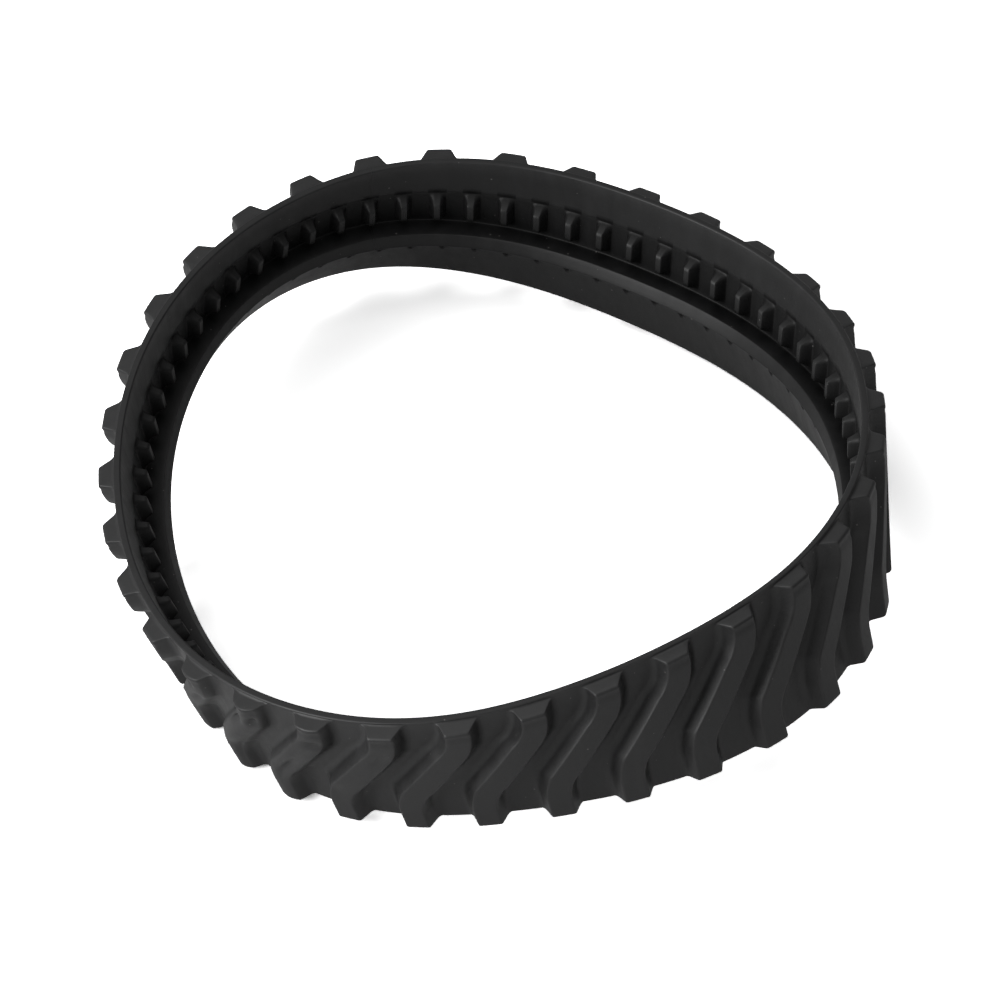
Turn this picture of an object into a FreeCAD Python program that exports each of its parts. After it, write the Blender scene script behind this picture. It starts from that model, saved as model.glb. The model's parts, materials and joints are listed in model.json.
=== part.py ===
import FreeCAD
import Part
import math
import os
import re

import Sketcher

# A moulded rubber drive track: an endless belt standing on one edge, with S-shaped
# tread lugs outside and a row of drive teeth in a channel inside.
# Frame: millimetres, +Z across the belt width, z = 0 the edge it rests on, and the
# origin in the middle of the loop's footprint.
#
# The belt is divided into flex links, each two lugs long. A link is a circular arc
# of belt, and the links meet tangentially along their pitch line, which is the
# middle of the wall. Three nodes ride together on each link: the band with its
# guide rail, the pair of tread lugs, and the four drive teeth.

Vector = FreeCAD.Vector
Rotation = FreeCAD.Rotation
Placement = FreeCAD.Placement

# ---------------------------------------------------------------- driving sizes
LINKS = 17
LUGS_PER_LINK = 2
TEETH_PER_LUG = 2

SIZES = {
    "lug_pitch": 18.8,       # along the pitch line
    "belt_width": 42.0,
    "half_wall": 1.0,        # the wall is twice this, about the pitch line
    "joint_gap": 0.2,        # set back of each link end from the joint plane
    "relief_run": 8.5,       # radial reach of the bevel inside each joint
    "relief_rise": 1.05,     # extra set back at the end of that bevel
    "rim_slope": 0.5,        # the upper face leans in by this above the channel
    "channel_top": 31.0,
    "channel_wall_top": 30.2,
    "rail_top": 19.7,        # the ledge under the channel
    "ledge_depth": 5.4,      # how far that ledge stands in from the wall
    "rail_depth": 6.5,       # the same for the rail's crest, lower down its face
    "rail_face": 3.4,        # height of the face from the ledge down to the crest
    "foot_step": 0.65,
    "foot_height": 1.0,
    "notch_width": 2.2,
    "notch_depth": 1.3,
    "notch_drop": 1.8,
    "notch_shift": 1.7,      # along the belt, from the tooth above a notch
    "tooth_bottom": 21.6,
    "tooth_top": 29.6,
    "tooth_depth": 3.2,
    "tooth_root": 4.4,
    "tooth_tip": 1.9,
    "tooth_corner": 0.45,
    "tooth_lift": 0.5,       # room under a tooth where it reaches over the link behind
    "lug_height": 4.6,
    "lug_root": 10.2,
    "lug_crest": 5.8,
    "lug_swing": 18.4,       # sideways shift from the top end to the bottom end
    "lug_middle": 23.5,      # height where the sloping run crosses the lug's middle
    "lug_slope": 39.0,       # degrees from the vertical
    "lug_bend": 16.0,        # radius of the lug's two bends
    "lug_low": 0.3,
    "lug_high": 41.5,
    "end_bevel": 0.8,
    "end_drop": 0.6,
    "lift_gap": 1.15,        # room under a lug where it reaches over the next link
}

# Plan of the loop: each link turns by an even share, varied by these waves around
# the loop (number of lobes: share, degrees of the first peak). A wave with one lobe
# is solved for, so that the loop closes.
LOBES = {2: (0.213, 28.3), 3: (0.217, 23.3), 4: (0.134, 44.7), 5: (0.267, 17.5)}
FIRST_HEADING = 157.44

LINK_LENGTH = LUGS_PER_LINK * SIZES["lug_pitch"]


def turns_with(one_lobe):
    """Turn of every link in radians, with the given one-lobe wave."""
    turns = []
    for link in range(LINKS):
        place = 2 * math.pi * (link + 0.5) / LINKS
        share = 1 + one_lobe[0] * math.cos(place) + one_lobe[1] * math.sin(place)
        for lobes, (size, peak) in LOBES.items():
            share += size * math.cos(lobes * (place - math.radians(peak)))
        turns.append(2 * math.pi / LINKS * share)
    return turns


def walk(turns):
    """Joint points and headings around the loop, from the first joint."""
    x, y, heading = 0.0, 0.0, math.radians(FIRST_HEADING)
    points, headings = [(x, y)], [heading]
    for turn in turns:
        radius = LINK_LENGTH / turn
        chord = 2 * radius * math.sin(turn / 2)
        x += chord * math.cos(heading + turn / 2)
        y += chord * math.sin(heading + turn / 2)
        heading += turn
        points.append((x, y))
        headings.append(heading)
    return points, headings


def closing_wave():
    """The one-lobe wave that brings the last joint back to the first."""
    wave = [0.0, 0.0]
    step = 1e-6
    for _ in range(12):
        end = walk(turns_with(wave))[0][-1]
        slopes = []
        for axis in range(2):
            nudged = list(wave)
            nudged[axis] += step
            moved = walk(turns_with(nudged))[0][-1]
            slopes.append(((moved[0] - end[0]) / step, (moved[1] - end[1]) / step))
        (a, c), (b, d) = slopes
        det = a * d - b * c
        wave[0] -= (d * end[0] - b * end[1]) / det
        wave[1] -= (a * end[1] - c * end[0]) / det
    return wave


TURNS = turns_with(closing_wave())
JOINTS, HEADINGS = walk(TURNS)

# ---------------------------------------------------------------- the document
doc = FreeCAD.newDocument("rubber_track")
sheet = doc.addObject("Spreadsheet::Sheet", "Sizes")


def fill_sheet():
    """Write every size into its own cell, under its own name."""
    rows = dict(SIZES)
    for link, turn in enumerate(TURNS, start=1):
        rows["radius_%02d" % link] = LINK_LENGTH / turn
        rows["turn_%02d" % link] = math.degrees(turn)
    for row, (alias, value) in enumerate(rows.items(), start=1):
        sheet.set("A%d" % row, alias)
        sheet.set("B%d" % row, "%.9g" % value)
        sheet.setAlias("B%d" % row, alias)
    doc.recompute()
    return rows


VALUES = fill_sheet()


def size(text):
    """The value of an expression written with the sheet's names."""
    return float(sheet.evalExpression(text))


def bound(text):
    """The same expression, with each name pointing at the sheet."""
    return re.sub("[a-z][a-z0-9_]+", lambda name: "Sizes." + name.group(0), text)


def origin_plane(body, role):
    for feature in body.Origin.OriginFeatures:
        if feature.Role == role:
            return feature
    raise ValueError(role)


def new_sketch(body, name, role):
    sketch = body.newObject("Sketcher::SketchObject", name)
    sketch.AttachmentSupport = [(origin_plane(body, role), "")]
    sketch.MapMode = "FlatFace"
    return sketch


def hold(sketch, geo, end, x_text, y_text):
    """Bind one end point of a line to two expressions."""
    for kind, text in (("DistanceX", x_text), ("DistanceY", y_text)):
        index = sketch.addConstraint(Sketcher.Constraint(kind, geo, end, size(text)))
        sketch.setExpression("Constraints[%d]" % index, bound(text))


def polygon(sketch, corners):
    """A closed outline whose every corner is bound to the sheet."""
    points = [Vector(size(x), size(y), 0) for x, y in corners]
    first = None
    for number, point in enumerate(points):
        after = points[(number + 1) % len(points)]
        geo = sketch.addGeometry(Part.LineSegment(point, after), False)
        if first is None:
            first = geo
        else:
            sketch.addConstraint(Sketcher.Constraint("Coincident", geo - 1, 2, geo, 1))
    sketch.addConstraint(Sketcher.Constraint("Coincident", geo, 2, first, 1))
    for number, (x_text, y_text) in enumerate(corners):
        hold(sketch, first + number, 1, x_text, y_text)


def turned_sketch(body, name, number, side):
    """A plan sketch whose x axis lies along the joint plane at one end of a link."""
    sketch = new_sketch(body, name, "XY_Plane")
    angle = side * 0.5 * VALUES["turn_%02d" % number]
    sketch.AttachmentOffset = Placement(Vector(), Rotation(Vector(0, 0, 1), angle))
    sketch.setExpression(
        "AttachmentOffset.Rotation.Angle", "%g * Sizes.turn_%02d" % (side * 0.5, number)
    )
    return sketch


def cut_through(body, name, sketch):
    pocket = body.newObject("PartDesign::Pocket", name)
    pocket.Profile = sketch
    pocket.Type = "ThroughAll"
    pocket.Midplane = True
    return pocket


def spread(body, name, original, count, step_text):
    """Repeat a feature about the link's own centre line."""
    pattern = body.newObject("PartDesign::PolarPattern", name)
    pattern.Originals = [original]
    pattern.Axis = (origin_plane(body, "Z_Axis"), [""])
    pattern.Occurrences = count
    pattern.setExpression("Angle", "%d * (%s) * 180 / pi" % (count - 1, step_text))
    body.Tip = pattern
    return pattern


def new_body(label):
    body = doc.addObject("PartDesign::Body", label)
    body.Label = label
    body.AllowCompound = True
    return body


def band_link(number):
    """Wall, channel and guide rail of one link, revolved about the arc's centre."""
    body = new_body("band_link_%02d" % number)
    r = "radius_%02d" % number
    section = new_sketch(body, "BandSection", "XZ_Plane")
    polygon(
        section,
        [
            (r + " + half_wall", "0"),
            (r + " + half_wall", "belt_width"),
            (r + " - half_wall", "belt_width"),
            (r + " - half_wall - rim_slope", "channel_top"),
            (r + " - half_wall", "channel_wall_top"),
            (r + " - half_wall", "rail_top"),
            (r + " - half_wall - ledge_depth", "rail_top"),
            (r + " - half_wall - rail_depth", "rail_top - rail_face"),
            (r + " - half_wall - foot_step", "foot_height"),
            (r + " - half_wall", "0"),
        ],
    )
    ring = body.newObject("PartDesign::Revolution", "BandArc")
    ring.Profile = section
    ring.ReferenceAxis = (section, ["V_Axis"])
    ring.Midplane = True
    ring.setExpression(
        "Angle",
        "Sizes.turn_%02d - 2 * Sizes.joint_gap / Sizes.%s * 180 / pi" % (number, r),
    )
    for side, tag in ((1, "Ahead"), (-1, "Behind")):
        relief = turned_sketch(body, "Relief" + tag, number, side)
        polygon(
            relief,
            [
                (r, "%g" % (0.5 * side)),
                (r, "%g * joint_gap" % -side),
                (r + " - relief_run", "%g * (joint_gap + relief_rise)" % -side),
                (r + " - relief_run", "%g" % (0.5 * side)),
            ],
        )
        cut_through(body, "ReliefCut" + tag, relief)
    notch = new_sketch(body, "Notch", "XY_Plane")
    notch.AttachmentOffset = Placement(
        Vector(0, 0, size("rail_top - rail_face")), Rotation(Vector(0, 0, 1), -1)
    )
    notch.setExpression("AttachmentOffset.Base.z", "Sizes.rail_top - Sizes.rail_face")
    notch.setExpression(
        "AttachmentOffset.Rotation.Angle",
        "(-0.5 * Sizes.lug_pitch - Sizes.notch_shift) / Sizes.%s * 180 / pi" % r,
    )
    polygon(
        notch,
        [
            (r + " - half_wall - rail_depth - 0.5", "-0.5 * notch_width"),
            (r + " - half_wall - rail_depth + notch_depth", "0"),
            (r + " - half_wall - rail_depth - 0.5", "0.5 * notch_width"),
        ],
    )
    bite = body.newObject("PartDesign::Pocket", "NotchCut")
    bite.Profile = notch
    bite.Type = "Length"
    bite.setExpression("Length", "Sizes.notch_drop")
    spread(body, "Notches", bite, 4, "0.5 * Sizes.lug_pitch / Sizes.%s" % r)
    return body


def drive_teeth(number):
    """Four wedge teeth on the channel wall of one link, the first one at its joint."""
    body = new_body("drive_teeth_%02d" % number)
    r = "radius_%02d" % number
    plan = new_sketch(body, "ToothPlan", "XY_Plane")
    plan.AttachmentOffset = Placement(
        Vector(0, 0, SIZES["tooth_bottom"]), Rotation(Vector(0, 0, 1), -1)
    )
    plan.setExpression("AttachmentOffset.Base.z", "Sizes.tooth_bottom")
    plan.setExpression(
        "AttachmentOffset.Rotation.Angle",
        "-Sizes.lug_pitch / Sizes.%s * 180 / pi" % r,
    )
    wall = size(r + " - half_wall")
    half_root = SIZES["tooth_root"] / 2
    root_x = math.sqrt(wall**2 - half_root**2)
    tip_x = wall - SIZES["tooth_depth"]
    half_tip = SIZES["tooth_tip"] / 2
    corner = SIZES["tooth_corner"]
    spots = [
        Vector(root_x, -half_root, 0),
        Vector(tip_x + corner, -half_tip, 0),
        Vector(tip_x, -half_tip + corner, 0),
        Vector(tip_x, half_tip - corner, 0),
        Vector(tip_x + corner, half_tip, 0),
        Vector(root_x, half_root, 0),
    ]
    for start, stop in zip(spots[:-1], spots[1:]):
        plan.addGeometry(Part.LineSegment(start, stop), False)
    circle = Part.Circle(Vector(), Vector(0, 0, 1), wall)
    swing = math.asin(half_root / wall)
    root = plan.addGeometry(Part.ArcOfCircle(circle, -swing, swing), False)
    for geo in range(4):
        plan.addConstraint(Sketcher.Constraint("Coincident", geo, 2, geo + 1, 1))
    plan.addConstraint(Sketcher.Constraint("Coincident", root, 1, 0, 1))
    plan.addConstraint(Sketcher.Constraint("Coincident", root, 2, 4, 2))
    plan.addConstraint(Sketcher.Constraint("Coincident", root, 3, -1, 1))
    index = plan.addConstraint(Sketcher.Constraint("Radius", root, wall))
    plan.setExpression("Constraints[%d]" % index, bound(r + " - half_wall"))
    for geo, end, text in ((0, 1, "-0.5 * tooth_root"), (4, 2, "0.5 * tooth_root")):
        index = plan.addConstraint(Sketcher.Constraint("DistanceY", geo, end, size(text)))
        plan.setExpression("Constraints[%d]" % index, bound(text))
    tip = r + " - half_wall - tooth_depth"
    hold(plan, 0, 2, tip + " + tooth_corner", "-0.5 * tooth_tip")
    hold(plan, 1, 2, tip, "-0.5 * tooth_tip + tooth_corner")
    hold(plan, 2, 2, tip, "0.5 * tooth_tip - tooth_corner")
    hold(plan, 3, 2, tip + " + tooth_corner", "0.5 * tooth_tip")
    pad = body.newObject("PartDesign::Pad", "Tooth")
    pad.Profile = plan
    pad.setExpression("Length", "Sizes.tooth_top - Sizes.tooth_bottom")
    spread(body, "Teeth", pad, 4, "0.5 * Sizes.lug_pitch / Sizes.%s" % r)
    room = turned_sketch(body, "LiftRoom", number, -1)
    lift = r + " - half_wall - tooth_lift"
    polygon(room, [(r, "0.1"), (lift, "0.1"), (lift, "-4"), (r, "-4")])
    cut_through(body, "LiftCut", room)
    return body


def lug_spine(body, number):
    """Path of a lug down the belt: straight, bend, sloping run, bend, straight."""
    r = "radius_%02d" % number
    spine = new_sketch(body, "LugPath", "YZ_Plane")
    swing = -0.5 * SIZES["lug_pitch"] / VALUES[r]
    spine.AttachmentOffset = Placement(
        Vector(VALUES[r] * math.sin(swing), 0, VALUES[r] * math.cos(swing)),
        Rotation(Vector(0, 1, 0), math.degrees(swing)),
    )
    swing_text = "-0.5 * Sizes.lug_pitch / Sizes.%s * 1 rad" % r
    spine.setExpression("AttachmentOffset.Base.x", "Sizes.%s * sin(%s)" % (r, swing_text))
    spine.setExpression("AttachmentOffset.Base.z", "Sizes.%s * cos(%s)" % (r, swing_text))
    spine.setExpression(
        "AttachmentOffset.Rotation.Angle",
        "-0.5 * Sizes.lug_pitch / Sizes.%s * 180 / pi" % r,
    )
    side = SIZES["lug_swing"] / 2
    middle = SIZES["lug_middle"]
    slope = math.radians(SIZES["lug_slope"])
    bend = SIZES["lug_bend"]
    run = bend * math.tan(slope / 2)
    corner = side / math.tan(slope)
    top = Vector(side, SIZES["belt_width"] + 1, 0)
    low = Vector(-side, -1, 0)
    a = Vector(side, middle + corner + run, 0)
    b = Vector(side - run * math.sin(slope), middle + corner - run * math.cos(slope), 0)
    c = Vector(-b.x, 2 * middle - b.y, 0)
    d = Vector(-side, middle - corner - run, 0)
    upper = Part.Circle(Vector(side - bend, a.y, 0), Vector(0, 0, 1), bend)
    lower = Part.Circle(Vector(-side + bend, d.y, 0), Vector(0, 0, 1), bend)
    spine.addGeometry(Part.LineSegment(top, a), False)
    spine.addGeometry(Part.ArcOfCircle(upper, -slope, 0), False)
    spine.addGeometry(Part.LineSegment(b, c), False)
    spine.addGeometry(Part.ArcOfCircle(lower, math.pi - slope, math.pi), False)
    spine.addGeometry(Part.LineSegment(d, low), False)
    spine.addGeometry(Part.Point(Vector(0, middle, 0)), True)
    for first, its_end, second, start in ((0, 2, 1, 2), (1, 1, 2, 1), (2, 2, 3, 1), (3, 2, 4, 1)):
        spine.addConstraint(Sketcher.Constraint("Tangent", first, its_end, second, start))
    spine.addConstraint(Sketcher.Constraint("Vertical", 0))
    spine.addConstraint(Sketcher.Constraint("Vertical", 4))
    spine.addConstraint(Sketcher.Constraint("PointOnObject", 5, 1, 2))
    hold(spine, 5, 1, "0", "lug_middle")
    hold(spine, 0, 1, "0.5 * lug_swing", "belt_width + 1")
    hold(spine, 4, 2, "-0.5 * lug_swing", "-1")
    for geo in (1, 3):
        index = spine.addConstraint(Sketcher.Constraint("Radius", geo, bend))
        spine.setExpression("Constraints[%d]" % index, "Sizes.lug_bend")
    lean = -math.pi / 2 - slope
    index = spine.addConstraint(Sketcher.Constraint("Angle", 2, lean))
    spine.setExpression("Constraints[%d]" % index, "-90 deg - Sizes.lug_slope * 1 deg")
    return spine


def tread_lugs(number):
    """Two S-shaped lugs swept down the outside of one link."""
    body = new_body("tread_lugs_%02d" % number)
    r = "radius_%02d" % number
    spine = lug_spine(body, number)
    profile = new_sketch(body, "LugProfile", "XY_Plane")
    profile.AttachmentOffset = Placement(
        Vector(0, 0, SIZES["belt_width"] + 1), Rotation(Vector(0, 0, 1), -1)
    )
    profile.setExpression("AttachmentOffset.Base.z", "Sizes.belt_width + 1")
    profile.setExpression(
        "AttachmentOffset.Rotation.Angle",
        "-0.5 * Sizes.lug_pitch / Sizes.%s * 180 / pi" % r,
    )
    centre = "0.5 * lug_swing"
    # the flanks run on below the root and above the crest, and are trimmed to the arc
    below, above = "-0.5 * lug_height", "1.5 * lug_height"
    polygon(
        profile,
        [
            (r + " + half_wall " + below, centre + " - 0.75 * lug_root + 0.25 * lug_crest"),
            (r + " + half_wall + " + above, centre + " - 0.75 * lug_crest + 0.25 * lug_root"),
            (r + " + half_wall + " + above, centre + " + 0.75 * lug_crest - 0.25 * lug_root"),
            (r + " + half_wall " + below, centre + " + 0.75 * lug_root - 0.25 * lug_crest"),
        ],
    )
    rib = body.newObject("PartDesign::AdditivePipe", "LugSweep")
    rib.Profile = profile
    rib.Spine = (spine, ["Edge%d" % n for n in range(1, 6)])
    doc.recompute()
    spread(body, "LugPair", rib, 2, "Sizes.lug_pitch / Sizes.%s" % r)
    doc.recompute()
    trim = new_sketch(body, "LugEnvelope", "XZ_Plane")
    foot = r + " + half_wall"
    crest = r + " + half_wall + lug_height"
    polygon(
        trim,
        [
            (foot + " - 9", "-4"),
            (crest + " + 9", "-4"),
            (crest + " + 9", "belt_width + 4"),
            (foot + " - 9", "belt_width + 4"),
        ],
    )
    polygon(
        trim,
        [
            (foot, "lug_low"),
            (crest + " - end_bevel", "lug_low"),
            (crest, "lug_low + end_bevel"),
            (crest, "lug_high - end_drop - end_bevel"),
            (crest + " - end_bevel", "lug_high - end_drop"),
            (foot, "lug_high"),
        ],
    )
    groove = body.newObject("PartDesign::Groove", "LugTrim")
    groove.Profile = trim
    groove.ReferenceAxis = (trim, ["V_Axis"])
    groove.Angle = 360
    body.Tip = groove
    for side, tag in ((1, "Ahead"), (-1, "Behind")):
        room = turned_sketch(body, "LiftRoom" + tag, number, side)
        near, far = "%g" % (-0.1 * side), "%g" % (9 * side)
        lift = r + " + half_wall + lift_gap"
        polygon(room, [(r + " - 2", near), (lift, near), (lift, far), (r + " - 2", far)])
        cut_through(body, "LiftCut" + tag, room)
    return body


def link_place(number):
    """Arc centre of a link, with its x axis through the middle of the arc."""
    link = number - 1
    radius = LINK_LENGTH / TURNS[link]
    x, y = JOINTS[link]
    heading = HEADINGS[link]
    centre = Vector(x - radius * math.sin(heading), y + radius * math.cos(heading), 0)
    outward = math.degrees(heading + TURNS[link] / 2) - 90
    return Placement(centre, Rotation(Vector(0, 0, 1), outward))


bodies = []
for number in range(1, LINKS + 1):
    for build in (band_link, tread_lugs, drive_teeth):
        body = build(number)
        body.Placement = link_place(number)
        bodies.append(body)
doc.recompute()

# the middle of the footprint becomes the origin
box = FreeCAD.BoundBox()
for body in bodies:
    box.add(body.Shape.BoundBox)
for body in bodies:
    place = body.Placement
    place.Base = place.Base - Vector(box.Center.x, box.Center.y, 0)
    body.Placement = place
doc.recompute()

# ---------------------------------------------------------------- checks and files
for item in doc.Objects:
    for state in item.State:
        if state in ("Invalid", "Error"):
            raise RuntimeError("%s is %s" % (item.Label, state))
for body in bodies:
    if body.Shape.isNull() or not body.Shape.isValid() or not body.Shape.Solids:
        raise RuntimeError("%s has no sound shape" % body.Label)

os.makedirs("parts", exist_ok=True)
for body in bodies:
    body.Shape.exportStep("parts/%s.step" % body.Label)
    print(body.Label, len(body.Shape.Solids), "solids, %.1f mm3" % body.Shape.Volume)
print("joints:")
for number, (x, y) in enumerate(JOINTS[:-1], start=1):
    print("  %2d  %.4f %.4f" % (number, x - box.Center.x, y - box.Center.y))
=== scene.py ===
import json
import math

import bpy
import numpy as np
from mathutils import Matrix, Vector

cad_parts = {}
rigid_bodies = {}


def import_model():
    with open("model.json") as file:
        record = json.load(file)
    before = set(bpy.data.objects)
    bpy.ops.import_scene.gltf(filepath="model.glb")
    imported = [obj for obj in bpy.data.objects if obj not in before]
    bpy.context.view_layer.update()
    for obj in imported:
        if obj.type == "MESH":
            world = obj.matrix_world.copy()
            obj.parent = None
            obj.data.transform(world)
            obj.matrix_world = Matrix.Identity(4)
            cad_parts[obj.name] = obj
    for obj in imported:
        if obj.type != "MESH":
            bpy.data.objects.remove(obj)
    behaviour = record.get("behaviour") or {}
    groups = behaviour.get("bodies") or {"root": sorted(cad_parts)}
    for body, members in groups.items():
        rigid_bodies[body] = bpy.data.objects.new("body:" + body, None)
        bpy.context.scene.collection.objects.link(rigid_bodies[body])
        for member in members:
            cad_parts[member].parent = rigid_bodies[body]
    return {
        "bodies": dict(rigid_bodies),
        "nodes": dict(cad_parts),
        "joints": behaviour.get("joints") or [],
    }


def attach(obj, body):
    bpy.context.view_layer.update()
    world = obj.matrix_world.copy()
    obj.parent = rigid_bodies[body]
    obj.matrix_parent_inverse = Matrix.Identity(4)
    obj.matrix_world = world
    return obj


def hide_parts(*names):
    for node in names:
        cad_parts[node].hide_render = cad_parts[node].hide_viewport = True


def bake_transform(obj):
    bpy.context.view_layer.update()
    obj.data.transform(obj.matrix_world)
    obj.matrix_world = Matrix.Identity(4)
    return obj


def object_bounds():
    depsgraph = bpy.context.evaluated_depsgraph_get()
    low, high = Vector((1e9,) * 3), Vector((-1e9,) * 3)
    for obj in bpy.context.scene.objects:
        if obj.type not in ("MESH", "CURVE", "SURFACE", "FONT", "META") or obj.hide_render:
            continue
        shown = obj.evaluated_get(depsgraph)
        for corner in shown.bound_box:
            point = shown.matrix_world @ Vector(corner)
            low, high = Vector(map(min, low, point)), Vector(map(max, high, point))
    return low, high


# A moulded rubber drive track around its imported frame. The frame gives the belt's
# width, its pitch line (through the joints) and the bodies; Blender works in metres,
# and the sizes below are in millimetres.
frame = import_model()
cad_low, cad_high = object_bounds()

MM = 0.001
WIDTH = (cad_high.z - cad_low.z) / MM
LINKS = len(frame["bodies"])
LUGS = 2 * LINKS
TEETH_PER_LUG = 2

# ------------------------------------------------------------------ sizes, in mm
HALF_WALL = 1.0
SKIN = 0.45                  # depth of the tread layer under the valleys
EDGE_ROUND = 0.25            # where the layers meet, this far from either edge
SEAM_LOW = 0.7               # the interface between the layers keeps between these
SEAM_HIGH = WIDTH - 0.75

LUG_HEIGHT = 4.6
LUG_ROOT = 10.2
LUG_CREST = 6.0
LUG_SWING = 9.2              # sideways from the middle, at either end
LUG_MIDDLE = 23.5
LUG_SLOPE = math.radians(39.0)
LUG_BEND = 14.0
LUG_LOW = 0.35
LUG_HIGH = WIDTH - 0.7
ROOT_FILLET = 2.4
CREST_FILLET = 0.7
END_LEAN = 0.35
END_FILLET = 1.0
SINK_DEPTH = 0.3             # shallow sink in the crest just below its upper end
SINK_BELOW = 2.3
SINK_REACH = 0.8

TOOTH_LOW = 21.0
TOOTH_HIGH = 30.2
TOOTH_END = 1.9              # height of the slope at either end of a tooth
TOOTH_DEPTH = 3.2
TOOTH_ROOT = 4.6
TOOTH_TIP = 1.7
SHOULDER = 31.4              # where the upper face steps back into the channel
SHOULDER_STEP = 0.1
CHANNEL_FLOOR = -0.95        # offset of the wall inside the channel
RAIL_TOP = 19.7              # the flat ledge on top of the guide rail
LEDGE_DEPTH = 5.4            # how far the ledge's edge stands in from the wall
RAIL_DEPTH = 6.5             # the same for the rail's crest
RAIL_FACE = 3.4              # height of the face from the ledge down to the crest
FOOT_STEP = 0.7              # how far the rail still stands in above its foot
FOOT_HEIGHT = 0.9
NOTCH_HALF = 1.2             # small bites under the rail's crest, one per tooth
NOTCH_DEPTH = 1.5
NOTCH_DROP = 1.8
NOTCH_SHIFT = -1.7           # along the belt, from the tooth above

# How much painted shade the inside has, darkening its colour and cutting its gloss: from 0 for
# the unshaded tread to 1 at its darkest.
INSIDE_SHADE = 0.4
RIM_SHADE = 0.3
UNDERSIDE_SHADE = 0.3         # painted shade under the rail, on top of the inside's own
CHANNEL_SHADE_LEVEL = 0.8
LEDGE_LIGHT_SHARE = 0.3            # the painted shade is lighter on the ledge by up to this
TOOTH_LIGHT_SHARE = 0.7            # painted highlight: a tooth's crest has less painted shade by up to this share
SHADE_START_HEIGHT = 33.0         # above this height the channel's painted shade ends
SHADE_FULL_HEIGHT = 29.5         # and below this it is at its full

# The division into pieces.
BLEND_REACH = 8.0            # a distance either side of each joint; the points found there are not used
BAND_SHIFT = 0.25            # in lugs: the band is divided between two teeth
OPEN_GAP = 0.001             # in lugs: each end's clearance at the open pivot

# The free rubber does not lie flat: it lifts in a saddle and leans outwards.
# Each entry: lobes round the loop, size, degrees of the first peak.
LIFT = ((2, 5.92, 45.5), (3, 0.377, 28.5), (4, 0.258, -34.8))  # mm
LEAN = ((0, 3.46, 0.0), (1, 3.619, 168.0), (2, 13.244, -47.8), (3, 1.754, -39.1),
        (4, 2.365, -3.0), (5, 0.72, -17.2), (6, 0.967, 5.4))   # degrees

# Lugs that came out of the mould badly: dents and swellings on their crests, each
# (sideways place, height, sideways reach, upright reach, depth), in mm.
FLAWS = {
    15: ((0.6, 31.0, 1.2, 3.0, 0.5), (-1.5, 14.0, 2.0, 3.0, 0.4)),
    14: ((0.4, 18.5, 1.0, 5.5, 1.5), (2.6, 27.0, 1.0, 4.0, -0.5), (-2.4, 24.0, 0.9, 5.0, -0.4),
         (0.5, 34.0, 2.2, 1.2, 0.9)),
    13: ((-2.6, 31.5, 1.3, 2.2, 1.6), (1.6, 35.5, 1.0, 1.4, 1.3), (3.5, 14.0, 1.4, 5.0, 0.9),
         (-3.2, 9.0, 1.5, 5.0, 0.8), (0.0, 21.0, 2.4, 7.0, -0.5)),
    12: ((1.4, 27.0, 1.7, 3.8, 1.3), (-1.2, 36.5, 1.4, 1.6, 0.8), (-2.6, 24.0, 0.9, 5.0, -0.5)),
}
BLUNT = {12: 0.35, 13: 0.65, 14: 0.3}    # share by which those crests are rounded over

# ------------------------------------------------------------------ stage, in metres
FLOOR_HALF = 6.0
FLOOR_SEEN = 2.8             # the floor's white for the camera
FLOOR_BOUNCE = 0.7           # and for the light it throws back
SKY_LEFT = 0.7               # the backdrop darkens from the left to the right
SKY_RIGHT = 0.1
OVERHEAD = ((0.0, 0.15, 1.6), 1.6, 6)         # place, size and power of the softboxes
LEFT = ((-1.3, -0.55, 0.6), 0.9, 15)
CAMERA_ELEVATION = math.radians(42.53)
CAMERA_ROLL = math.radians(-8.45)
CAMERA_DISTANCE = 3174.0                      # mm
CAMERA_NEAR = 0.05
AIM_FROM_JOINTS = (0.94, 17.33)               # mm, from the mean of the joints in plan
PIXELS_PER_MM = 3.7742                        # at the aim, on an image this wide:
IMAGE_WIDTH = 1001


# ------------------------------------------------------------------ the pitch line
def joint_points():
    """Plan position of every joint in order round the loop, and the open one's number."""
    found = {}
    for joint in frame["joints"]:
        ends = sorted((int(joint["parent"][-2:]), int(joint["child"][-2:])))
        after = ends[1] if ends[1] - ends[0] == 1 else ends[0]
        found[after] = np.array(joint["pos_m"][:2])
    open_joint = (set(range(1, LINKS + 1)) - set(found)).pop()
    near = free_end(open_joint - 1, found[(open_joint - 2) % LINKS + 1])
    far = free_end(open_joint, found[open_joint % LINKS + 1])
    found[open_joint] = (near + far) / 2
    return np.array([found[number] for number in range(1, LINKS + 1)]), open_joint


def free_end(link, joint):
    """Middle of the wall at the end of a link that lies farthest from a known joint."""
    mesh = frame["nodes"]["band_link_%02d" % link].data
    points = np.array([v.co for v in mesh.vertices])
    edge = points[points[:, 2] > cad_high.z - 0.1 * MM][:, :2]
    reach = np.linalg.norm(edge - joint, axis=1)
    return edge[reach > reach.max() - 1.0 * MM].mean(axis=0)


def closed_spline(points):
    """Second derivatives of the closed cubic spline through evenly numbered points."""
    count = len(points)
    system = np.zeros((count, count))
    for row in range(count):
        system[row, row] = 4.0
        system[row, (row + 1) % count] += 1.0
        system[row, row - 1] += 1.0
    bends = np.roll(points, -1, 0) - 2 * points + np.roll(points, 1, 0)
    return np.linalg.solve(system, 6 * bends)


KNOTS, OPEN_JOINT = joint_points()
BENDS = closed_spline(KNOTS)


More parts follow.
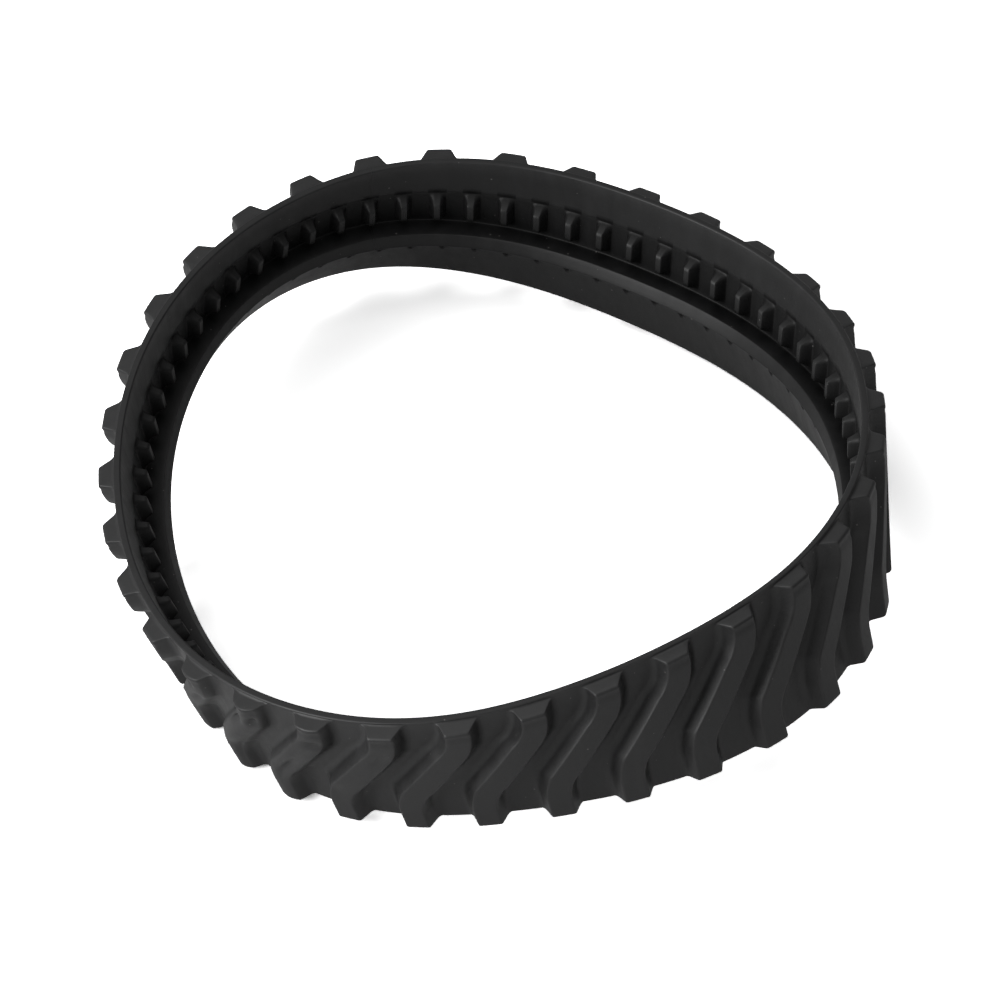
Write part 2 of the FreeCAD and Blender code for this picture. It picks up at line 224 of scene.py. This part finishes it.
def pitch_line(u):
    """Point and direction of the pitch line; u counts lugs from the first joint."""
    place = np.asarray(u, float) / 2 % LINKS
    index = np.floor(place).astype(int) % LINKS
    after = (index + 1) % LINKS
    b = (place - np.floor(place))[..., None]
    a = 1 - b
    point = a * KNOTS[index] + b * KNOTS[after]
    point = point + ((a**3 - a) * BENDS[index] + (b**3 - b) * BENDS[after]) / 6
    slope = KNOTS[after] - KNOTS[index]
    slope = slope + ((1 - 3 * a**2) * BENDS[index] + (3 * b**2 - 1) * BENDS[after]) / 6
    return point, slope / 2


def waves(table, u):
    """Sum of the waves of a table, and its slope per lug, at u."""
    angle = np.asarray(u, float) * 2 * math.pi / LUGS
    total, slope = np.zeros_like(angle), np.zeros_like(angle)
    for lobes, size, peak in table:
        phase = lobes * (angle - math.radians(peak))
        total += size * np.cos(phase)
        slope -= size * lobes * np.sin(phase) * 2 * math.pi / LUGS
    return total, slope


def pitch_length():
    """Length of one lug's share of the pitch line, in mm."""
    line = pitch_line(np.linspace(0, LUGS, 2001))[0]
    return np.linalg.norm(np.diff(line, axis=0), axis=1).sum() / LUGS / MM


PITCH = pitch_length()


def place(u, height, out):
    """World position of a point of the belt.

    u is along the belt in lugs, height is across it from the resting edge, and out
    is the offset from the pitch line, both in mm."""
    point, slope = pitch_line(u)
    lift, rise = waves(LIFT, u)
    lean = np.radians(waves(LEAN, u)[0])[..., None]
    tangent = np.concatenate([slope, (rise * MM)[..., None]], axis=-1)
    tangent /= np.linalg.norm(tangent, axis=-1, keepdims=True)
    flat = np.stack([slope[..., 1], -slope[..., 0], 0 * slope[..., 0]], axis=-1)
    flat /= np.linalg.norm(flat, axis=-1, keepdims=True)
    upright = np.cross(flat, tangent)
    across = np.cos(lean) * upright + np.sin(lean) * flat
    normal = np.cos(lean) * flat - np.sin(lean) * upright
    middle = cad_low.z + (lift + WIDTH / 2) * MM
    centre = np.concatenate([point, middle[..., None]], axis=-1)
    up = (np.asarray(height, float)[..., None] - WIDTH / 2) * MM
    return centre + up * across + np.asarray(out, float)[..., None] * MM * normal


# ------------------------------------------------------------------ profiles
def rounded(corners, radii, steps):
    """An open polyline with its inner corners rounded to arcs of the given radii."""
    points = [np.array(corners[0], float)]
    for before, corner, after, radius, count in zip(
        corners[:-2], corners[1:-1], corners[2:], radii, steps
    ):
        corner = np.array(corner, float)
        to_before = np.array(before) - corner
        to_after = np.array(after) - corner
        to_before = to_before / np.linalg.norm(to_before)
        to_after = to_after / np.linalg.norm(to_after)
        half = math.acos(np.clip(to_before @ to_after, -1, 1)) / 2
        reach = radius / math.tan(half)
        bisector = (to_before + to_after) / np.linalg.norm(to_before + to_after)
        middle = corner + bisector * radius / math.sin(half)
        first = corner + reach * to_before - middle
        last = corner + reach * to_after - middle
        swing = math.pi - 2 * half
        for share in np.linspace(0, 1, count + 1):
            arm = math.sin((1 - share) * swing) * first + math.sin(share * swing) * last
            points.append(middle + arm / math.sin(swing))
    points.append(np.array(corners[-1], float))
    return np.array(points)


def spaced(points, longest):
    """The same polyline with extra points so that no step is longer than this."""
    made = [points[0]]
    for before, after in zip(points[:-1], points[1:]):
        count = max(1, math.ceil(np.linalg.norm(after - before) / longest - 1e-9))
        for step in range(1, count + 1):
            made.append(before + (after - before) * step / count)
    return np.array(made)


def both_sides(half):
    """A half profile, given from its far end to its middle, with its mirror image."""
    left = [(-off, rise) for off, rise in half]
    return left + [(off, rise) for off, rise in half[-2::-1]]


def settle(value, start, stop):
    """0 at start, 1 at stop, and an even S between them."""
    share = np.clip((value - start) / (stop - start), 0, 1)
    return share * share * (3 - 2 * share)


# ------------------------------------------------------------------ tread layer
def lug_path(height):
    """Sideways place of a lug's centre line at a height, and its slope's cosine."""
    corner = LUG_SWING / math.tan(LUG_SLOPE)
    run = LUG_BEND * math.tan(LUG_SLOPE / 2)
    away = np.abs(height - LUG_MIDDLE)
    side = np.where(height > LUG_MIDDLE, 1.0, -1.0)
    bend_start = corner - run * math.cos(LUG_SLOPE)
    down = np.clip(corner + run - away, 0, None)
    on_bend = LUG_SWING - LUG_BEND + np.sqrt(np.clip(LUG_BEND**2 - down**2, 0, None))
    shift = np.where(away < bend_start, away * math.tan(LUG_SLOPE), on_bend)
    sine = np.where(away < bend_start, math.sin(LUG_SLOPE), np.clip(down / LUG_BEND, 0, 1))
    return side * shift, np.sqrt(1 - sine**2)


def lug_columns():
    """Half profile of a lug: distance from its middle line, and share of its height."""
    root, crest = LUG_ROOT / 2, LUG_CREST / 2
    corners = [(root + 4, 0), (root, 0), (crest, LUG_HEIGHT), (0, LUG_HEIGHT)]
    profile = rounded(corners, (ROOT_FILLET, CREST_FILLET), (7, 5))[1:]
    profile = spaced(profile, 0.6)
    return profile[:, 0], profile[:, 1] / LUG_HEIGHT


def lug_rows():
    """Heights of the tread layer's rows, and the lug's height share at each."""
    end = rounded([(0, 0), (END_LEAN, LUG_HEIGHT), (5, LUG_HEIGHT)], (END_FILLET,), (6,))
    end = np.concatenate([spaced(end[:2], 1.2), end[2:-1]])
    low = [(LUG_LOW + inset, height / LUG_HEIGHT) for inset, height in end]
    high = [(LUG_HIGH - inset, height / LUG_HEIGHT) for inset, height in end[::-1]]
    between = spaced(np.array([low[-1], high[0]]), 0.8)[1:-1]
    rows = [(EDGE_ROUND, 0.0)] + low + [tuple(row) for row in between] + high
    return np.array(rows + [(WIDTH - EDGE_ROUND, 0.0)])


def crest_shape(lug, off, height, rise):
    """The rise of a lug with its sink and, on a few lugs, their moulding flaws."""
    on_crest = np.clip(rise / LUG_HEIGHT, 0, 1) ** 2
    sink = np.exp(-(((height - LUG_HIGH + SINK_BELOW) / SINK_REACH) ** 2))
    rise = rise - SINK_DEPTH * sink * on_crest
    blunt = BLUNT.get(lug, 0.0)
    if blunt:
        dome = np.cos(np.clip(off / (LUG_ROOT / 2 + 1.4), -1, 1) * math.pi / 2) ** 2
        rise = rise + blunt * on_crest * (LUG_HEIGHT * dome - rise)
    for side, level, wide, tall, depth in FLAWS.get(lug, ()):
        dent = np.exp(-(((off - side) / wide) ** 2) - ((height - level) / tall) ** 2)
        rise = rise - depth * dent * on_crest
    return rise


def tread_sheet(first, last):
    """u, height, offset and painted shade, which is none, of the tread's surface from lug first
    to last.
    """
    across, share = lug_columns()
    rows = lug_rows()
    height, end_share = rows[:, 0], rows[:, 1]
    shift, cosine = lug_path(height)
    columns = []
    for lug in range(first, last):
        foot = across[0] / cosine - PITCH / 2
        half = [(PITCH / 2 + foot * part, 0 * height) for part in (0, 0.33, 0.66)]
        for off, part in zip(across, share):
            half.append((off / cosine, part * end_share * LUG_HEIGHT))
        for off, rise in both_sides(half)[1 if lug > first else 0:]:
            rise = crest_shape(lug % LUGS, off * cosine, height, rise)
            columns.append((lug + 0.5 + (off + shift) / PITCH, height, HALF_WALL + rise))
    sheet = [np.stack(values) for values in zip(*columns)]
    return sheet + [np.zeros_like(sheet[0])]


# ------------------------------------------------------------------ band layer
def band_section():
    """Outline of the band from the tread's top corner over the rim and round inside."""
    crest = -HALF_WALL - RAIL_DEPTH
    outline = [
        (HALF_WALL, WIDTH - EDGE_ROUND), (HALF_WALL - EDGE_ROUND, WIDTH),
        (-HALF_WALL + 0.3, WIDTH), (-HALF_WALL, WIDTH - 0.3),
        (-HALF_WALL - SHOULDER_STEP, SHOULDER), (CHANNEL_FLOOR, SHOULDER - 0.9),
        (CHANNEL_FLOOR, RAIL_TOP), (-HALF_WALL - LEDGE_DEPTH, RAIL_TOP),
        (crest, RAIL_TOP - RAIL_FACE), (-HALF_WALL - FOOT_STEP, FOOT_HEIGHT),
        (-HALF_WALL + 0.3, 0.0), (HALF_WALL - EDGE_ROUND, 0.0), (HALF_WALL, EDGE_ROUND),
    ]
    radii = (0.2, 0.25, 0.3, 0.4, 0.5, 0.35, 0.25, 0.35, 1.0, 0.3, 0.15)
    steps = (2, 2, 2, 3, 3, 4, 4, 4, 3, 2, 2)
    return rounded(outline, radii, steps)


def band_rows():
    """The section with its rows close together at the tooth ends and under the crest."""
    section = band_section()
    on_floor = np.abs(section[:, 0] - CHANNEL_FLOOR) < 1e-6
    top = np.flatnonzero(on_floor)[0]
    steps = np.linspace(0, TOOTH_END, 6)
    levels = np.concatenate([TOOTH_HIGH - steps, TOOTH_LOW + steps[::-1]])
    channel = np.array([(CHANNEL_FLOOR, level) for level in levels])
    section = np.concatenate([section[: top + 1], channel, section[top + 1:]])
    crest = np.flatnonzero(section[:, 0] < -HALF_WALL - LEDGE_DEPTH - 0.5)[-1]
    start, stop = section[crest], section[crest + 1]
    down = start + (stop - start) * 2.5 * NOTCH_DROP / np.linalg.norm(stop - start)
    under = spaced(np.array([start, down]), 0.25)[1:]
    section = np.concatenate([section[: crest + 1], under, section[crest + 1:]])
    return spaced(section, 1.1)


def tooth_share(height):
    """Share of a tooth's depth at a height: 1 on its length, sloping at its ends."""
    return np.clip(np.minimum(height - TOOTH_LOW, TOOTH_HIGH - height) / TOOTH_END, 0, 1)


def tooth_columns():
    """Half plan of a tooth: distance from its middle, and rise from the channel."""
    root, tip = TOOTH_ROOT / 2, TOOTH_TIP / 2
    corners = [(root + 2, 0), (root, 0), (tip, TOOTH_DEPTH), (0, TOOTH_DEPTH)]
    profile = rounded(corners, (0.5, 0.3), (3, 4))[1:]
    return spaced(profile, 0.9)


def painted_shade(height, out, rise_share, off, notch):
    """Painted shade at a point of the band, darkening its colour and cutting its gloss: most of
    all in the channel, in a cap over each tooth and in the notches, where shade falls; also on
    the inside face, under the rail and on the rim's top. It is lighter on the ledge and on the
    teeth's crests."""
    depth = -HALF_WALL - out
    channel = settle(height, SHADE_START_HEIGHT, SHADE_FULL_HEIGHT)
    channel = channel * settle(height, RAIL_TOP - 0.6, RAIL_TOP)
    on_ledge = (height < RAIL_TOP + 0.1) * settle(depth, 1.0, LEDGE_DEPTH + 0.2)
    # painted shade in a cap on the wall over each tooth's top
    cap = settle(np.abs(height - TOOTH_HIGH - 0.7), 1.1, 0.3) * (abs(off) < TOOTH_ROOT / 2 + 0.3)
    # painted highlight: the teeth's crests get less painted shade
    lit = rise_share * settle(height, TOOTH_LOW + 1.0, TOOTH_HIGH - 1.0)
    shade_and_matte = channel * (CHANNEL_SHADE_LEVEL - LEDGE_LIGHT_SHARE * on_ledge) * (1 - TOOTH_LIGHT_SHARE * lit)
    # painted shade on the inside face below the rim, under the rail and on the rim's top
    faces_in = depth > 0
    inside = faces_in * INSIDE_SHADE * settle(height, WIDTH + 1, WIDTH - 5)
    inside += faces_in * UNDERSIDE_SHADE * settle(height, RAIL_TOP - 2, RAIL_TOP - 5)
    inside += (height > WIDTH - 0.1) * RIM_SHADE
    # painted shade in the notches, growing with their depth
    return np.clip(np.max([inside, shade_and_matte, cap, notch * 2.5], axis=0), 0, 1)


def band_sheet(first, last):
    """u, height, offset and painted shade of the band's surface between two places."""
    section = band_rows()
    out, height = section[:, 0], section[:, 1]
    in_channel = (np.abs(out - CHANNEL_FLOOR) < 0.05) & (height > TOOTH_LOW - 0.1)
    share = np.where(in_channel, tooth_share(height), 0.0)
    below = RAIL_TOP - RAIL_FACE - 0.2 - height
    under_crest = (out < -HALF_WALL - 0.3 * RAIL_DEPTH) & (below > 0)
    bite = np.where(under_crest, np.clip(1 - below / NOTCH_DROP, 0, 1), 0.0)
    half_cell = PITCH / TEETH_PER_LUG / 2
    profile = tooth_columns()
    edge = profile[0, 0]
    half = [(half_cell, 0.0), ((half_cell + edge) / 2, 0.0)]
    half += [tuple(spot) for spot in profile]
    first_tooth = math.floor(first * TEETH_PER_LUG + 0.501)
    last_tooth = math.ceil(last * TEETH_PER_LUG - 0.501)
    columns = []
    for tooth in range(first_tooth, last_tooth + 1):
        for off, rise in both_sides(half)[1 if tooth > first_tooth else 0:]:
            u = tooth / TEETH_PER_LUG + off / PITCH
            if u < first - 1e-6 or u > last + 1e-6:
                continue
            across = abs(off - NOTCH_SHIFT) / NOTCH_HALF
            notch = NOTCH_DEPTH * np.clip(bite - across, 0, 1)
            # painted shade of this column: darker and less glossy in the channel, over the teeth
            # and in the notches
            shade_and_matte = painted_shade(height, out, rise / TOOTH_DEPTH * share, off, notch)
            inwards = out - rise * share + notch
            columns.append((np.full_like(height, u), height, inwards, shade_and_matte))
    return [np.stack(values) for values in zip(*columns)]


def band_back():
    """Heights on the interface between the layers that the band's rows are joined to.

    They keep every line from a row to the interface inside the section."""
    section = band_rows()
    sunk = section[:, 1] + 0.3 * (section[:, 0] + HALF_WALL).clip(None, 0)
    evenly = np.linspace(SEAM_HIGH, SEAM_LOW, len(sunk))
    return 0.97 * np.clip(sunk, SEAM_LOW, SEAM_HIGH) + 0.03 * evenly


# ------------------------------------------------------------------ mesh making
def grid_faces(numbers):
    """Quads between the neighbouring columns and rows of a grid of point numbers."""
    corners = [numbers[:-1, :-1], numbers[1:, :-1], numbers[1:, 1:], numbers[:-1, 1:]]
    return np.stack(corners, -1).reshape(-1, 4)


def solid(name, sheet, back_height, material):
    """A closed piece: the sheet in front, the same grid laid on the interface between
    the layers behind it, and strips that close its four sides."""
    u, height, out, shade_and_matte = sheet
    front = place(u, height, out).reshape(-1, 3)
    back = place(u, back_height, np.full_like(u, HALF_WALL - SKIN)).reshape(-1, 3)
    front_numbers = np.arange(u.size).reshape(u.shape)
    back_numbers = front_numbers + u.size
    faces = [grid_faces(front_numbers), grid_faces(back_numbers)[:, ::-1]]
    for side in (np.s_[:, 0], np.s_[::-1, -1], np.s_[0, ::-1], np.s_[-1, :]):
        faces.append(grid_faces(np.stack([back_numbers[side], front_numbers[side]], -1)))
    faces = np.concatenate(faces)
    points = np.concatenate([front, back])
    if volume(points, faces) < 0:
        faces = faces[:, ::-1]
    mesh = bpy.data.meshes.new(name)
    mesh.from_pydata(points.tolist(), [], faces.tolist())
    mesh.update()
    shade(mesh, front_numbers)
    # the painted shade of each point, stored for the material; the back gets none
    values = mesh.attributes.new("painted_shade", "FLOAT", "POINT").data
    values.foreach_set("value", np.concatenate([shade_and_matte.ravel(), np.zeros(u.size)]))
    mesh.materials.append(material)
    piece = bpy.data.objects.new(name, mesh)
    bpy.context.scene.collection.objects.link(piece)
    return piece


def volume(points, faces):
    a, b, c, d = (points[faces[:, corner]] for corner in range(4))
    return (np.cross(b - a, c - a) * a).sum() + (np.cross(c - a, d - a) * a).sum()


def shade(mesh, front_numbers):
    """Smooth shading on the front, with a sharp line all round it."""
    front_faces = (front_numbers.shape[0] - 1) * (front_numbers.shape[1] - 1)
    smooth = np.arange(len(mesh.polygons)) < front_faces
    mesh.polygons.foreach_set("use_smooth", smooth)
    border = np.zeros(len(mesh.vertices), bool)
    for side in (np.s_[:, 0], np.s_[:, -1], np.s_[0, :], np.s_[-1, :]):
        border[front_numbers[side]] = True
    ends = np.zeros(2 * len(mesh.edges), int)
    mesh.edges.foreach_get("vertices", ends)
    mesh.edges.foreach_set("use_edge_sharp", border[ends.reshape(-1, 2)].all(axis=1))


# ------------------------------------------------------------------ rubber
def rubber():
    """Black moulded rubber: satin, faintly grained and scuffed, with specks of dust; painted
    shade from a point attribute darkens it and cuts its gloss on the band's inside.
    """
    material = bpy.data.materials.new("moulded_rubber")
    material.use_nodes = True
    nodes, links = material.node_tree.nodes, material.node_tree.links
    shader = nodes["Principled BSDF"]
    position = nodes.new("ShaderNodeTexCoord").outputs["Object"]

    def stretched(scale):
        node = nodes.new("ShaderNodeMapping")
        node.inputs["Scale"].default_value = scale
        links.new(position, node.inputs["Vector"])
        return node.outputs["Vector"]

    def noise(vector, scale, detail, roughness=0.5):
        node = nodes.new("ShaderNodeTexNoise")
        node.inputs["Scale"].default_value = scale
        node.inputs["Detail"].default_value = detail
        node.inputs["Roughness"].default_value = roughness
        links.new(vector, node.inputs["Vector"])
        return node.outputs["Fac"]

    def ramp(value, low, high, start, stop):
        node = nodes.new("ShaderNodeMapRange")
        node.inputs["From Min"].default_value = low
        node.inputs["From Max"].default_value = high
        node.inputs["To Min"].default_value = start
        node.inputs["To Max"].default_value = stop
        links.new(value, node.inputs["Value"])
        return node.outputs["Result"]

    def combine(kind, first, second):
        node = nodes.new("ShaderNodeMath")
        node.operation = kind
        for slot, value in enumerate((first, second)):
            if isinstance(value, float):
                node.inputs[slot].default_value = value
            else:
                links.new(value, node.inputs[slot])
        return node.outputs[0]

    # dust: small pale dots, of a size that varies from cell to cell; none in most cells
    cells = nodes.new("ShaderNodeTexVoronoi")
    cells.inputs["Scale"].default_value = 400.0
    links.new(position, cells.inputs["Vector"])
    pick = nodes.new("ShaderNodeSeparateColor")
    links.new(cells.outputs["Color"], pick.inputs["Color"])
    reach = ramp(pick.outputs["Red"], 0.45, 1.0, 0.0, 0.11)
    inside = combine("SUBTRACT", reach, cells.outputs["Distance"])
    dust = ramp(inside, 0.0, 0.02, 0.0, 0.5)

    patches = noise(position, 45.0, 4.0, 0.6)
    scuffs = noise(stretched((260.0, 260.0, 38.0)), 1.0, 5.0, 0.65)
    patchy, scuffed = ramp(patches, 0.3, 0.7, 0.82, 1.2), ramp(scuffs, 0.45, 0.75, 1.0, 1.5)
    tone = combine("MULTIPLY", patchy, scuffed)
    # painted shade on the inside: darker colour and less gloss where the point attribute says so
    painted_shade = nodes.new("ShaderNodeAttribute")
    painted_shade.attribute_name = "painted_shade"
    unshaded = ramp(painted_shade.outputs["Fac"], 0.0, 1.0, 1.0, 0.28)
    tone = combine("MULTIPLY", tone, unshaded)
    links.new(combine("MULTIPLY", unshaded, 0.5), shader.inputs["Specular IOR Level"])
    black = nodes.new("ShaderNodeMix")
    black.data_type = "RGBA"
    black.blend_type = "MULTIPLY"
    black.inputs["Factor"].default_value = 1.0
    black.inputs["A"].default_value = (0.0125, 0.0125, 0.0128, 1)
    links.new(tone, black.inputs["B"])
    mix = nodes.new("ShaderNodeMix")
    mix.data_type = "RGBA"
    mix.inputs["B"].default_value = (0.16, 0.155, 0.15, 1)
    links.new(black.outputs["Result"], mix.inputs["A"])
    links.new(dust, mix.inputs["Factor"])
    links.new(mix.outputs["Result"], shader.inputs["Base Color"])

    shade_and_matte = combine("ADD", ramp(patches, 0.3, 0.75, 0.40, 0.5), ramp(scuffs, 0.4, 0.75, 0.0, 0.1))
    links.new(shade_and_matte, shader.inputs["Roughness"])
    grain = noise(position, 1500.0, 3.0, 0.7)
    bump = nodes.new("ShaderNodeBump")
    bump.inputs["Strength"].default_value = 0.14
    bump.inputs["Distance"].default_value = 0.0002
    links.new(combine("ADD", grain, combine("MULTIPLY", scuffs, 0.8)), bump.inputs["Height"])
    links.new(bump.outputs["Normal"], shader.inputs["Normal"])
    return material


RUBBER = rubber()


# ------------------------------------------------------------------ the pieces
def trim_ends(sheet, trims):
    """Move the first and the last column of a sheet along the belt."""
    sheet[0][0] += trims[0]
    sheet[0][-1] += trims[1]


def tread_piece(tag, first, last, trims=(0.0, 0.0)):
    sheet = tread_sheet(first, last)
    trim_ends(sheet, trims)
    return solid("tread_" + tag, sheet, np.clip(sheet[1], SEAM_LOW, SEAM_HIGH), RUBBER)


def band_piece(tag, first, last, trims=(0.0, 0.0)):
    sheet = band_sheet(first, last)
    trim_ends(sheet, trims)
    return solid("band_" + tag, sheet, band_back() * np.ones_like(sheet[0]), RUBBER)


def link_name(number):
    return "link_%02d" % number


def stand_for(link):
    """Hide a link's band, teeth and lug CAD nodes; the visual pieces are drawn in their place.
    """
    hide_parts("band_link_%02d" % link, "drive_teeth_%02d" % link)
    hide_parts("tread_lugs_%02d" % link)


def open_ends(before, link, centre):
    """The two halves that meet at the open pivot, each riding on its own link."""
    tag = "%02d_open_end"
    trims = (0.0, -OPEN_GAP)
    band = band_piece(tag % before, centre - 1 + BAND_SHIFT, centre, trims)
    tread = tread_piece(tag % before, centre - 1, centre, trims)
    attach(band, link_name(before))
    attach(tread, link_name(before))
    trims = (OPEN_GAP, 0.0)
    band = band_piece(tag % link, centre, centre + 1 + BAND_SHIFT, trims)
    tread = tread_piece(tag % link, centre, centre + 1, trims)
    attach(band, link_name(link))
    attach(tread, link_name(link))
    stand_for(link)


def build_track():
    """One band piece and one tread piece over each joint, from mid link to mid link."""
    for link in range(1, LINKS + 1):
        before = (link - 2) % LINKS + 1
        centre = 2 * (link - 1)
        if link == OPEN_JOINT:
            open_ends(before, link, centre)
            continue
        for side in (-1, 1):
            end = place(centre + side * BLEND_REACH / PITCH, WIDTH / 2, 0.0)
        tag = "%02d_%02d" % (before, link)
        band = band_piece(tag, centre - 1 + BAND_SHIFT, centre + 1 + BAND_SHIFT)
        tread = tread_piece(tag, centre - 1, centre + 1)
        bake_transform(band)
        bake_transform(tread)
        stand_for(link)


build_track()


# ------------------------------------------------------------------ the stage
def stage_floor(level):
    """A white floor that looks brighter to the camera than the light it throws back."""
    ways = ((-1, -1), (1, -1), (1, 1), (-1, 1))
    corners = [(x * FLOOR_HALF, y * FLOOR_HALF, level) for x, y in ways]
    mesh = bpy.data.meshes.new("studio_floor")
    mesh.from_pydata(corners, [], [(0, 1, 2, 3)])
    floor = bpy.data.objects.new("studio_floor", mesh)
    bpy.context.scene.collection.objects.link(floor)
    material = bpy.data.materials.new("white_sweep")
    material.use_nodes = True
    nodes, links = material.node_tree.nodes, material.node_tree.links
    nodes.remove(nodes["Principled BSDF"])
    rays = nodes.new("ShaderNodeLightPath")
    mix = nodes.new("ShaderNodeMixShader")
    for slot, shade_of_white in ((1, FLOOR_BOUNCE), (2, FLOOR_SEEN)):
        white = nodes.new("ShaderNodeBsdfDiffuse")
        white.inputs["Color"].default_value = (shade_of_white,) * 3 + (1,)
        links.new(white.outputs["BSDF"], mix.inputs[slot])
    links.new(rays.outputs["Is Camera Ray"], mix.inputs["Fac"])
    links.new(mix.outputs["Shader"], nodes["Material Output"].inputs["Surface"])
    mesh.materials.append(material)


def area_light(name, spot, size, power):
    """A square softbox aimed at the origin."""
    light = bpy.data.lights.new(name, "AREA")
    light.shape = "SQUARE"
    light.size = size
    light.energy = power
    lamp = bpy.data.objects.new(name, light)
    bpy.context.scene.collection.objects.link(lamp)
    lamp.location = spot
    lamp.rotation_euler = (-Vector(spot)).to_track_quat("-Z", "Y").to_euler()


def studio():
    world = bpy.data.worlds.new("studio")
    bpy.context.scene.world = world
    world.use_nodes = True
    nodes, links = world.node_tree.nodes, world.node_tree.links
    background = nodes["Background"]
    background.inputs["Color"].default_value = (1, 1, 1, 1)
    axes = nodes.new("ShaderNodeSeparateXYZ")
    links.new(nodes.new("ShaderNodeTexCoord").outputs["Generated"], axes.inputs["Vector"])
    across = nodes.new("ShaderNodeMapRange")
    across.inputs["From Min"].default_value = -1.0
    across.inputs["From Max"].default_value = 1.0
    across.inputs["To Min"].default_value = SKY_LEFT
    across.inputs["To Max"].default_value = SKY_RIGHT
    links.new(axes.outputs["X"], across.inputs["Value"])
    links.new(across.outputs["Result"], background.inputs["Strength"])
    area_light("overhead_softbox", *OVERHEAD)
    area_light("left_softbox", *LEFT)
    bpy.context.scene.view_settings.view_transform = "Standard"


def photo_camera():
    data = bpy.data.cameras.new("camera")
    data.angle = 2 * math.atan(IMAGE_WIDTH / 2 / (PIXELS_PER_MM * CAMERA_DISTANCE))
    data.clip_start = CAMERA_NEAR
    camera = bpy.data.objects.new("camera", data)
    bpy.context.scene.collection.objects.link(camera)
    level = Vector((1, 0, 0))
    upright = Vector((0, math.sin(CAMERA_ELEVATION), math.cos(CAMERA_ELEVATION)))
    right = math.cos(CAMERA_ROLL) * level + math.sin(CAMERA_ROLL) * upright
    forward = Vector((0, math.cos(CAMERA_ELEVATION), -math.sin(CAMERA_ELEVATION)))
    up = right.cross(forward)
    middle = KNOTS.mean(axis=0) / MM
    aim = Vector((middle[0] + AIM_FROM_JOINTS[0], middle[1] + AIM_FROM_JOINTS[1], 0))
    turn = Matrix((right, up, -forward)).transposed()
    spot = (aim - CAMERA_DISTANCE * forward) * MM
    camera.matrix_world = Matrix.Translation(spot) @ turn.to_4x4()
    bpy.context.scene.camera = camera


low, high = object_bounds()
stage_floor(low.z)
studio()
photo_camera()
